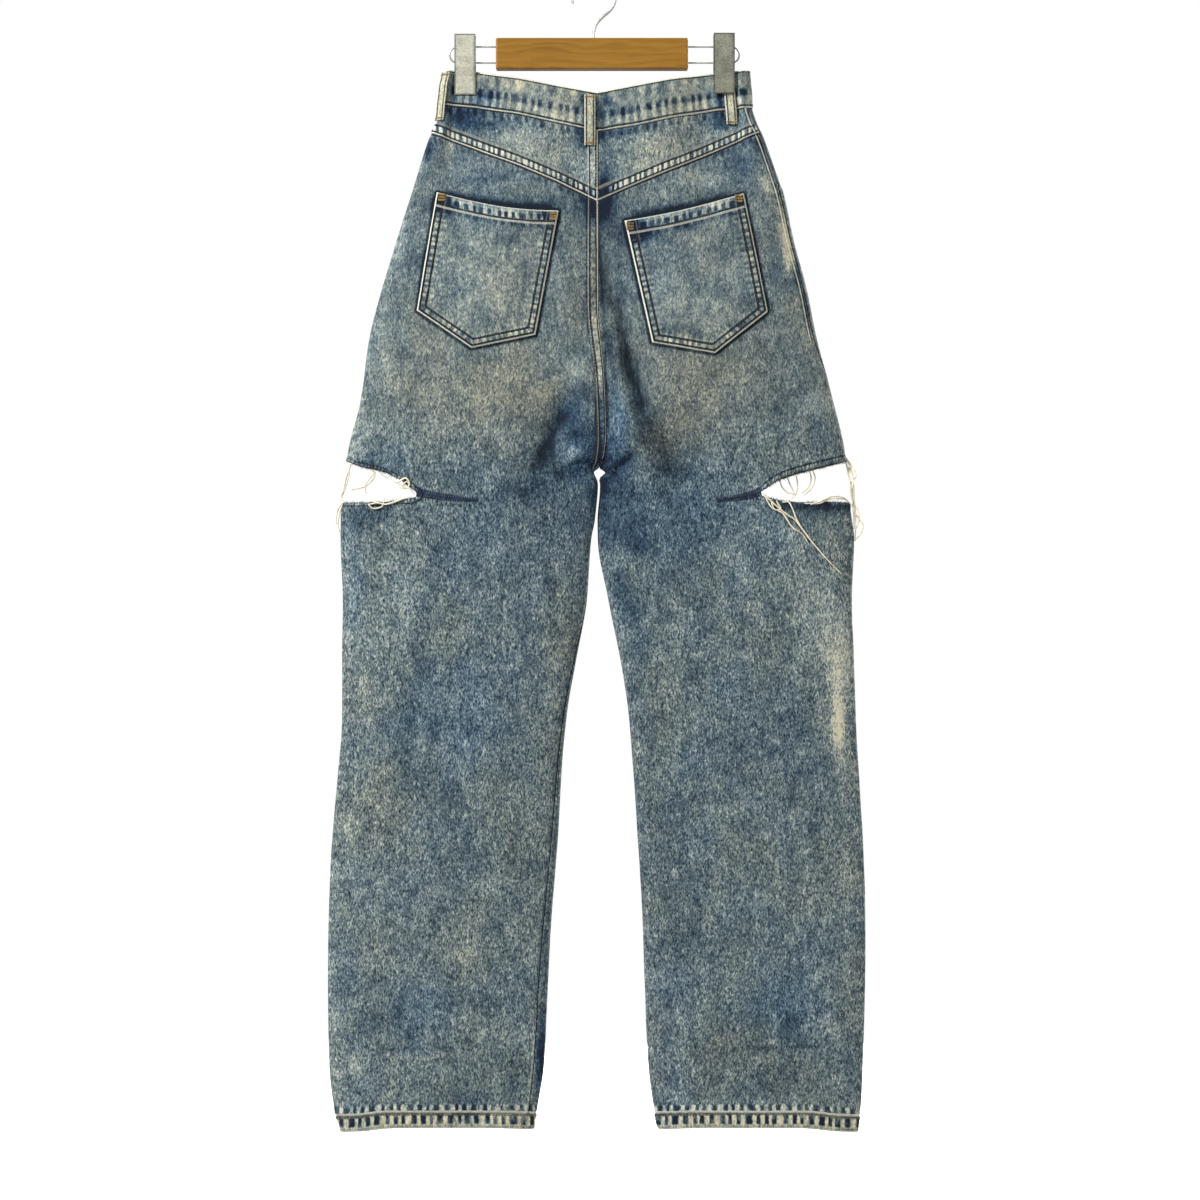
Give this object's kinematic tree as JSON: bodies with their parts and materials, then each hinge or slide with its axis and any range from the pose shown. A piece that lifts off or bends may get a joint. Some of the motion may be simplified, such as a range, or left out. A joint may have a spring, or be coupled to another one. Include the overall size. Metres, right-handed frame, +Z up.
{
  "type": "ripped jeans on a clip hanger",
  "caption": "High-waisted wide-legged acid-washed denim jeans, slashed open across each thigh from the side seam, hung by the waistband from a wooden clip hanger",
  "frame": {"origin": "top of the hook's inside, where a rail or nail carries it", "axes": "+Z up; the back of the jeans faces -Y and the front +Y; +X is towards the wearer's right leg"},
  "size_m": [0.5355, 0.0446, 1.1566],
  "materials": {
    "denim": "acid-washed cotton twill, blue clouded with grey beige",
    "thread": "loose undyed cotton thread",
    "button_metal": "aged satin",
    "wood": "satin varnish over straight honey-brown grain",
    "steel_wire": "plated wire",
    "clip_metal": "worn nickel plate, mottled"
  },
  "bodies": {
    "root": {"back_hip_left": "denim", "back_leg_left": "denim", "back_hip_right": "denim", "back_leg_right": "denim", "front_hip_left": "denim", "front_leg_left": "denim", "front_hip_right": "denim", "front_leg_right": "denim", "yoke_left": "denim", "yoke_right": "denim", "waistband": "denim", "back_pocket_left": "denim", "back_pocket_right": "denim", "pocket_facing_left": "denim", "pocket_facing_right": "denim", "fly_shield": "denim", "hem_left": "denim", "hem_right": "denim", "belt_loop_back": "denim", "belt_loop_side_left": "denim", "belt_loop_side_right": "denim", "belt_loop_front_left": "denim", "belt_loop_front_right": "denim", "threads_left": "thread", "threads_right": "thread", "thread_tail_right": "thread", "waist_button": "button_metal", "hanger_bar": "wood", "hanger_rail": "steel_wire", "hanger_hook": "steel_wire", "clip_left_core": "clip_metal", "clip_left_back": "clip_metal", "clip_left_front": "clip_metal", "clip_right_core": "clip_metal", "clip_right_back": "clip_metal", "clip_right_front": "clip_metal"}
  },
  "joints": []
}
